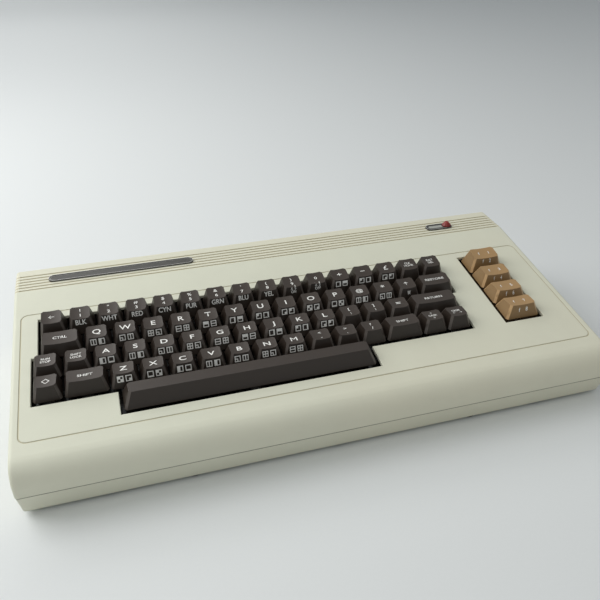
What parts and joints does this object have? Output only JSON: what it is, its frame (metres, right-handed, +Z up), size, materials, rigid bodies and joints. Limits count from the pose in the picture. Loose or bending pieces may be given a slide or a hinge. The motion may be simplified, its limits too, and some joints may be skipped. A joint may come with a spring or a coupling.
{
  "type": "home computer",
  "caption": "Wedge-shaped home computer in one case with a full keyboard, function keys, bare badge, lamp and rear and side sockets.",
  "frame": {"origin": "centre of the case's footprint, on the table under its feet", "axes": "+X to the right along the keyboard, +Y to the rear, +Z up; the keys face -Y"},
  "size_m": [0.404, 0.2033, 0.0756],
  "materials": {
    "case_plastic": "fine-grained moulded plastic, slightly yellowed",
    "dark_key": "dark brown keycap plastic, polished by use on top",
    "tan_key": "tan keycap plastic",
    "black_plastic": "black moulded plastic",
    "socket_plastic": "black moulded plastic",
    "rocker_plastic": "black glossy plastic",
    "circuit_board": "green lacquered circuit board",
    "chip_plastic": "moulded chip packages",
    "capacitor_sleeve": "shrink sleeve on cans",
    "aluminium": "plain extruded aluminium",
    "tinned_sheet": "tinned sheet",
    "steel": "zinc-plated steel",
    "spring_steel": "bright spring steel",
    "rubber": "black rubber",
    "badge_metal": "dark face with a bright rim",
    "lamp": "dark red clear plastic, unlit",
    "ribbon": "grey flat cable and plugs"
  },
  "bodies": {
    "case": {"top_case": "case_plastic", "bottom_case": "case_plastic", "case_feet": "rubber", "case_screws": "steel", "name_badge": "badge_metal", "power_label": "badge_metal", "power_led": "lamp", "keyboard_frame": "black_plastic", "keyboard_board": "circuit_board", "keyboard_screws": "steel", "key_springs": "spring_steel", "keyboard_cable": "ribbon", "main_board": "circuit_board", "chips": "chip_plastic", "capacitors": "capacitor_sleeve", "heat_sink": "aluminium", "rf_shield": "tinned_sheet", "cartridge_connector": "black_plastic", "video_socket": "black_plastic", "serial_socket": "black_plastic", "control_port": "socket_plastic", "power_inlet": "black_plastic", "power_switch_housing": "black_plastic", "board_screws": "steel"},
    "number_keys": {"number_keys": "dark_key"},
    "upper_letter_keys": {"upper_letter_keys": "dark_key"},
    "middle_letter_keys": {"middle_letter_keys": "dark_key"},
    "lower_letter_keys": {"lower_letter_keys": "dark_key"},
    "left_arrow_key": {"left_arrow_key": "dark_key"},
    "plus_key": {"plus_key": "dark_key"},
    "minus_key": {"minus_key": "dark_key"},
    "pound_key": {"pound_key": "dark_key"},
    "home_key": {"home_key": "dark_key"},
    "delete_key": {"delete_key": "dark_key"},
    "ctrl_key": {"ctrl_key": "dark_key"},
    "at_key": {"at_key": "dark_key"},
    "asterisk_key": {"asterisk_key": "dark_key"},
    "up_arrow_key": {"up_arrow_key": "dark_key"},
    "restore_key": {"restore_key": "dark_key"},
    "run_stop_key": {"run_stop_key": "dark_key"},
    "shift_lock_key": {"shift_lock_key": "dark_key"},
    "colon_key": {"colon_key": "dark_key"},
    "semicolon_key": {"semicolon_key": "dark_key"},
    "equals_key": {"equals_key": "dark_key"},
    "return_key": {"return_key": "dark_key"},
    "symbol_key": {"symbol_key": "dark_key"},
    "left_shift_key": {"left_shift_key": "dark_key"},
    "comma_key": {"comma_key": "dark_key"},
    "period_key": {"period_key": "dark_key"},
    "slash_key": {"slash_key": "dark_key"},
    "right_shift_key": {"right_shift_key": "dark_key"},
    "cursor_vertical_key": {"cursor_vertical_key": "dark_key"},
    "cursor_horizontal_key": {"cursor_horizontal_key": "dark_key"},
    "function_key_1": {"function_key_1": "tan_key"},
    "function_key_3": {"function_key_3": "tan_key"},
    "function_key_5": {"function_key_5": "tan_key"},
    "function_key_7": {"function_key_7": "tan_key"},
    "space_bar": {"space_bar": "dark_key"},
    "stabiliser": {"space_bar_wire": "spring_steel"},
    "rocker": {"power_rocker": "rocker_plastic"}
  },
  "joints": [
    {"name": "number_keys_press", "type": "slide", "parent": "case", "child": "number_keys", "axis": [0, 0.1908, -0.9816], "range_m": [0, 0.0038], "stiffness_N_per_m": 1200, "springref_m": -0.003},
    {"name": "upper_letter_keys_press", "type": "slide", "parent": "case", "child": "upper_letter_keys", "axis": [0, 0.1908, -0.9816], "range_m": [0, 0.0038], "stiffness_N_per_m": 1200, "springref_m": -0.003},
    {"name": "middle_letter_keys_press", "type": "slide", "parent": "case", "child": "middle_letter_keys", "axis": [0, 0.1908, -0.9816], "range_m": [0, 0.0038], "stiffness_N_per_m": 1080, "springref_m": -0.003},
    {"name": "lower_letter_keys_press", "type": "slide", "parent": "case", "child": "lower_letter_keys", "axis": [0, 0.1908, -0.9816], "range_m": [0, 0.0038], "stiffness_N_per_m": 840, "springref_m": -0.003},
    {"name": "left_arrow_key_press", "type": "slide", "parent": "case", "child": "left_arrow_key", "axis": [0, 0.1908, -0.9816], "range_m": [0, 0.0038], "stiffness_N_per_m": 120, "springref_m": -0.003},
    {"name": "plus_key_press", "type": "slide", "parent": "case", "child": "plus_key", "axis": [0, 0.1908, -0.9816], "range_m": [0, 0.0038], "stiffness_N_per_m": 120, "springref_m": -0.003},
    {"name": "minus_key_press", "type": "slide", "parent": "case", "child": "minus_key", "axis": [0, 0.1908, -0.9816], "range_m": [0, 0.0038], "stiffness_N_per_m": 120, "springref_m": -0.003},
    {"name": "pound_key_press", "type": "slide", "parent": "case", "child": "pound_key", "axis": [0, 0.1908, -0.9816], "range_m": [0, 0.0038], "stiffness_N_per_m": 120, "springref_m": -0.003},
    {"name": "home_key_press", "type": "slide", "parent": "case", "child": "home_key", "axis": [0, 0.1908, -0.9816], "range_m": [0, 0.0038], "stiffness_N_per_m": 120, "springref_m": -0.003},
    {"name": "delete_key_press", "type": "slide", "parent": "case", "child": "delete_key", "axis": [0, 0.1908, -0.9816], "range_m": [0, 0.0038], "stiffness_N_per_m": 120, "springref_m": -0.003},
    {"name": "ctrl_key_press", "type": "slide", "parent": "case", "child": "ctrl_key", "axis": [0, 0.1908, -0.9816], "range_m": [0, 0.0038], "stiffness_N_per_m": 120, "springref_m": -0.003},
    {"name": "at_key_press", "type": "slide", "parent": "case", "child": "at_key", "axis": [0, 0.1908, -0.9816], "range_m": [0, 0.0038], "stiffness_N_per_m": 120, "springref_m": -0.003},
    {"name": "asterisk_key_press", "type": "slide", "parent": "case", "child": "asterisk_key", "axis": [0, 0.1908, -0.9816], "range_m": [0, 0.0038], "stiffness_N_per_m": 120, "springref_m": -0.003},
    {"name": "up_arrow_key_press", "type": "slide", "parent": "case", "child": "up_arrow_key", "axis": [0, 0.1908, -0.9816], "range_m": [0, 0.0038], "stiffness_N_per_m": 120, "springref_m": -0.003},
    {"name": "restore_key_press", "type": "slide", "parent": "case", "child": "restore_key", "axis": [0, 0.1908, -0.9816], "range_m": [0, 0.0038], "stiffness_N_per_m": 120, "springref_m": -0.003},
    {"name": "run_stop_key_press", "type": "slide", "parent": "case", "child": "run_stop_key", "axis": [0, 0.1908, -0.9816], "range_m": [0, 0.0038], "stiffness_N_per_m": 120, "springref_m": -0.003},
    {"name": "shift_lock_key_press", "type": "slide", "parent": "case", "child": "shift_lock_key", "axis": [0, 0.1908, -0.9816], "range_m": [0, 0.0038]},
    {"name": "colon_key_press", "type": "slide", "parent": "case", "child": "colon_key", "axis": [0, 0.1908, -0.9816], "range_m": [0, 0.0038], "stiffness_N_per_m": 120, "springref_m": -0.003},
    {"name": "semicolon_key_press", "type": "slide", "parent": "case", "child": "semicolon_key", "axis": [0, 0.1908, -0.9816], "range_m": [0, 0.0038], "stiffness_N_per_m": 120, "springref_m": -0.003},
    {"name": "equals_key_press", "type": "slide", "parent": "case", "child": "equals_key", "axis": [0, 0.1908, -0.9816], "range_m": [0, 0.0038], "stiffness_N_per_m": 120, "springref_m": -0.003},
    {"name": "return_key_press", "type": "slide", "parent": "case", "child": "return_key", "axis": [0, 0.1908, -0.9816], "range_m": [0, 0.0038], "stiffness_N_per_m": 120, "springref_m": -0.003},
    {"name": "symbol_key_press", "type": "slide", "parent": "case", "child": "symbol_key", "axis": [0, 0.1908, -0.9816], "range_m": [0, 0.0038], "stiffness_N_per_m": 120, "springref_m": -0.003},
    {"name": "left_shift_key_press", "type": "slide", "parent": "case", "child": "left_shift_key", "axis": [0, 0.1908, -0.9816], "range_m": [0, 0.0038], "stiffness_N_per_m": 120, "springref_m": -0.003},
    {"name": "comma_key_press", "type": "slide", "parent": "case", "child": "comma_key", "axis": [0, 0.1908, -0.9816], "range_m": [0, 0.0038], "stiffness_N_per_m": 120, "springref_m": -0.003},
    {"name": "period_key_press", "type": "slide", "parent": "case", "child": "period_key", "axis": [0, 0.1908, -0.9816], "range_m": [0, 0.0038], "stiffness_N_per_m": 120, "springref_m": -0.003},
    {"name": "slash_key_press", "type": "slide", "parent": "case", "child": "slash_key", "axis": [0, 0.1908, -0.9816], "range_m": [0, 0.0038], "stiffness_N_per_m": 120, "springref_m": -0.003},
    {"name": "right_shift_key_press", "type": "slide", "parent": "case", "child": "right_shift_key", "axis": [0, 0.1908, -0.9816], "range_m": [0, 0.0038], "stiffness_N_per_m": 120, "springref_m": -0.003},
    {"name": "cursor_vertical_key_press", "type": "slide", "parent": "case", "child": "cursor_vertical_key", "axis": [0, 0.1908, -0.9816], "range_m": [0, 0.0038], "stiffness_N_per_m": 120, "springref_m": -0.003},
    {"name": "cursor_horizontal_key_press", "type": "slide", "parent": "case", "child": "cursor_horizontal_key", "axis": [0, 0.1908, -0.9816], "range_m": [0, 0.0038], "stiffness_N_per_m": 120, "springref_m": -0.003},
    {"name": "function_key_1_press", "type": "slide", "parent": "case", "child": "function_key_1", "axis": [0, 0.1908, -0.9816], "range_m": [0, 0.0038], "stiffness_N_per_m": 120, "springref_m": -0.003},
    {"name": "function_key_3_press", "type": "slide", "parent": "case", "child": "function_key_3", "axis": [0, 0.1908, -0.9816], "range_m": [0, 0.0038], "stiffness_N_per_m": 120, "springref_m": -0.003},
    {"name": "function_key_5_press", "type": "slide", "parent": "case", "child": "function_key_5", "axis": [0, 0.1908, -0.9816], "range_m": [0, 0.0038], "stiffness_N_per_m": 120, "springref_m": -0.003},
    {"name": "function_key_7_press", "type": "slide", "parent": "case", "child": "function_key_7", "axis": [0, 0.1908, -0.9816], "range_m": [0, 0.0038], "stiffness_N_per_m": 120, "springref_m": -0.003},
    {"name": "space_bar_press", "type": "slide", "parent": "case", "child": "space_bar", "axis": [0, 0.1908, -0.9816], "range_m": [0, 0.0038], "stiffness_N_per_m": 220, "springref_m": -0.003},
    {"name": "wire_turn", "type": "hinge", "parent": "case", "child": "stabiliser", "pos_m": [-0.05043, -0.05135, 0.0413], "axis": [1, 0, 0], "range_deg": [0, 18.49]},
    {"name": "power_rock", "type": "hinge", "parent": "case", "child": "rocker", "pos_m": [0.1909, 0.02, 0.0201], "axis": [0, 0, -1], "range_deg": [0, 20]}
  ],
  "couplings": [
    {"joint": "wire_turn", "follows": "space_bar_press", "rad_per_m": 84.91}
  ]
}
